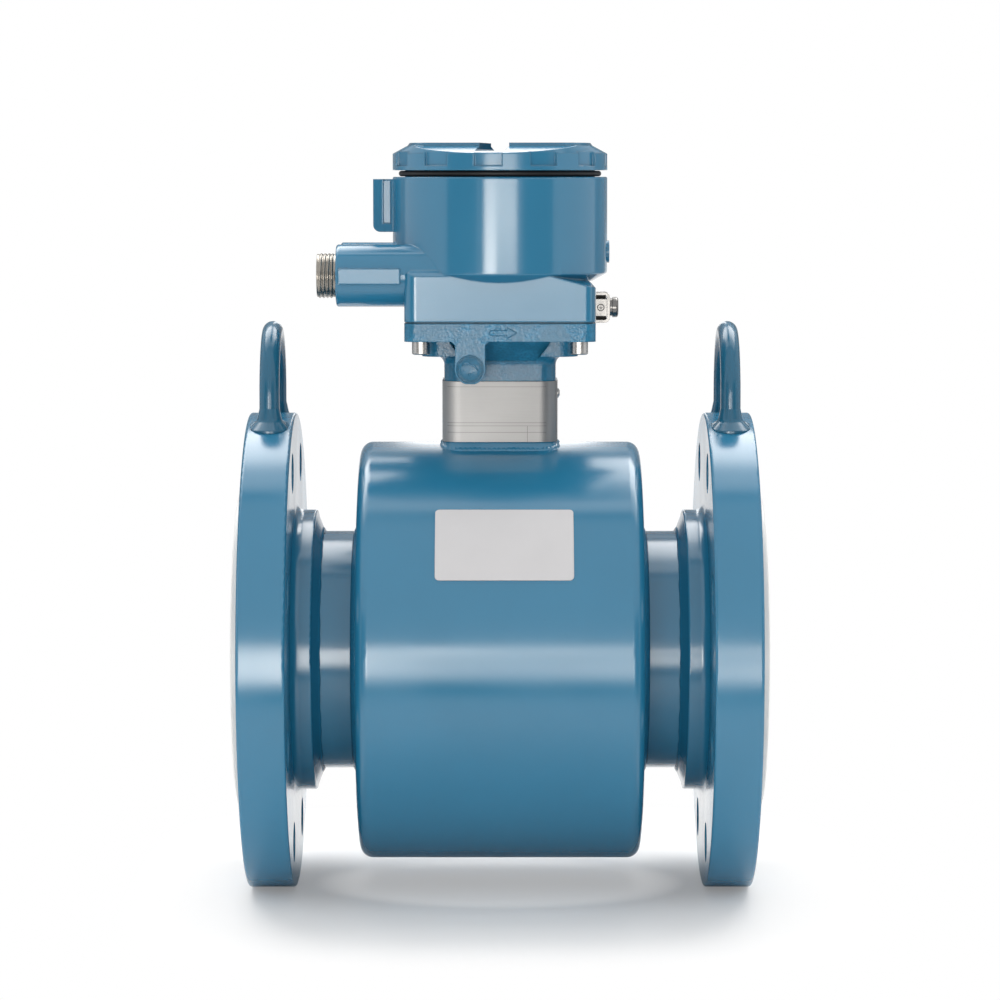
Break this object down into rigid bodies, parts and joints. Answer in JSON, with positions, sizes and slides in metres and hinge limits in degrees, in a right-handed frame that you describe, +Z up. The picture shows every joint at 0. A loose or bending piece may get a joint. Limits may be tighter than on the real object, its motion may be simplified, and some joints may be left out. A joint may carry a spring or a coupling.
{
  "type": "electromagnetic flow meter",
  "caption": "Flanged pipe flow meter with a round coil housing, lifting eyes and a screw-topped wiring box on a short neck.",
  "frame": {"origin": "on the pipe axis, midway between the two liner faces", "axes": "+X along the pipe with the flow arrow, -Y the front with the label, +Z up to the cover"},
  "size_m": [0.2504, 0.2286, 0.3579],
  "materials": {
    "blue_paint": "semi-gloss",
    "cast_paint": "semi-gloss over cast metal",
    "white_liner": "satin",
    "core_steel": "plain",
    "copper_wire": "enamelled copper winding",
    "bright_steel": "machined",
    "brushed_plate": "brushed sheet",
    "black_rubber": "matte",
    "terminal_plastic": "moulded",
    "terminal_brass": "plated",
    "lead_sleeve": "sleeved leads",
    "grey_label": "satin"
  },
  "bodies": {
    "meter": {"flow_tube": "blue_paint", "liner": "white_liner", "inlet_flange": "blue_paint", "outlet_flange": "blue_paint", "inlet_lifting_eye": "blue_paint", "outlet_lifting_eye": "blue_paint", "coil_housing": "blue_paint", "upper_core": "core_steel", "lower_core": "core_steel", "upper_coil": "copper_wire", "lower_coil": "copper_wire", "return_band": "core_steel", "front_electrode": "bright_steel", "rear_electrode": "bright_steel", "electrode_bushes": "white_liner", "electrode_springs": "bright_steel", "electrode_nuts": "bright_steel", "housing_neck": "blue_paint", "nameplate_band": "brushed_plate", "nameplate_rivet": "bright_steel", "neck_adapter": "cast_paint", "box_gasket": "black_rubber", "junction_box": "cast_paint", "side_plug": "cast_paint", "conduit_nipple": "bright_steel", "conduit_plug": "cast_paint", "terminal_block": "terminal_plastic", "terminal_screws": "terminal_brass", "block_mounting_screws": "bright_steel", "lead_bundle": "lead_sleeve", "lead_seal": "terminal_plastic", "box_bolts": "bright_steel", "ground_clamp": "bright_steel", "ground_block": "bright_steel", "ground_washer": "bright_steel", "ground_screw": "bright_steel", "label_plate": "grey_label"},
    "seal_ring": {"cover_o_ring": "black_rubber"},
    "lid": {"cover": "cast_paint"}
  },
  "joints": [
    {"name": "cover_rise", "type": "slide", "parent": "meter", "child": "seal_ring", "axis": [0, 0, 1], "range_m": [0, 0.014]},
    {"name": "cover_turn", "type": "hinge", "parent": "seal_ring", "child": "lid", "pos_m": [0, 0, 0.2349], "axis": [0, 0, 1], "range_deg": [0, 2520]}
  ],
  "couplings": [
    {"joint": "cover_rise", "follows": "cover_turn", "m_per_rad": 0.0003183}
  ]
}
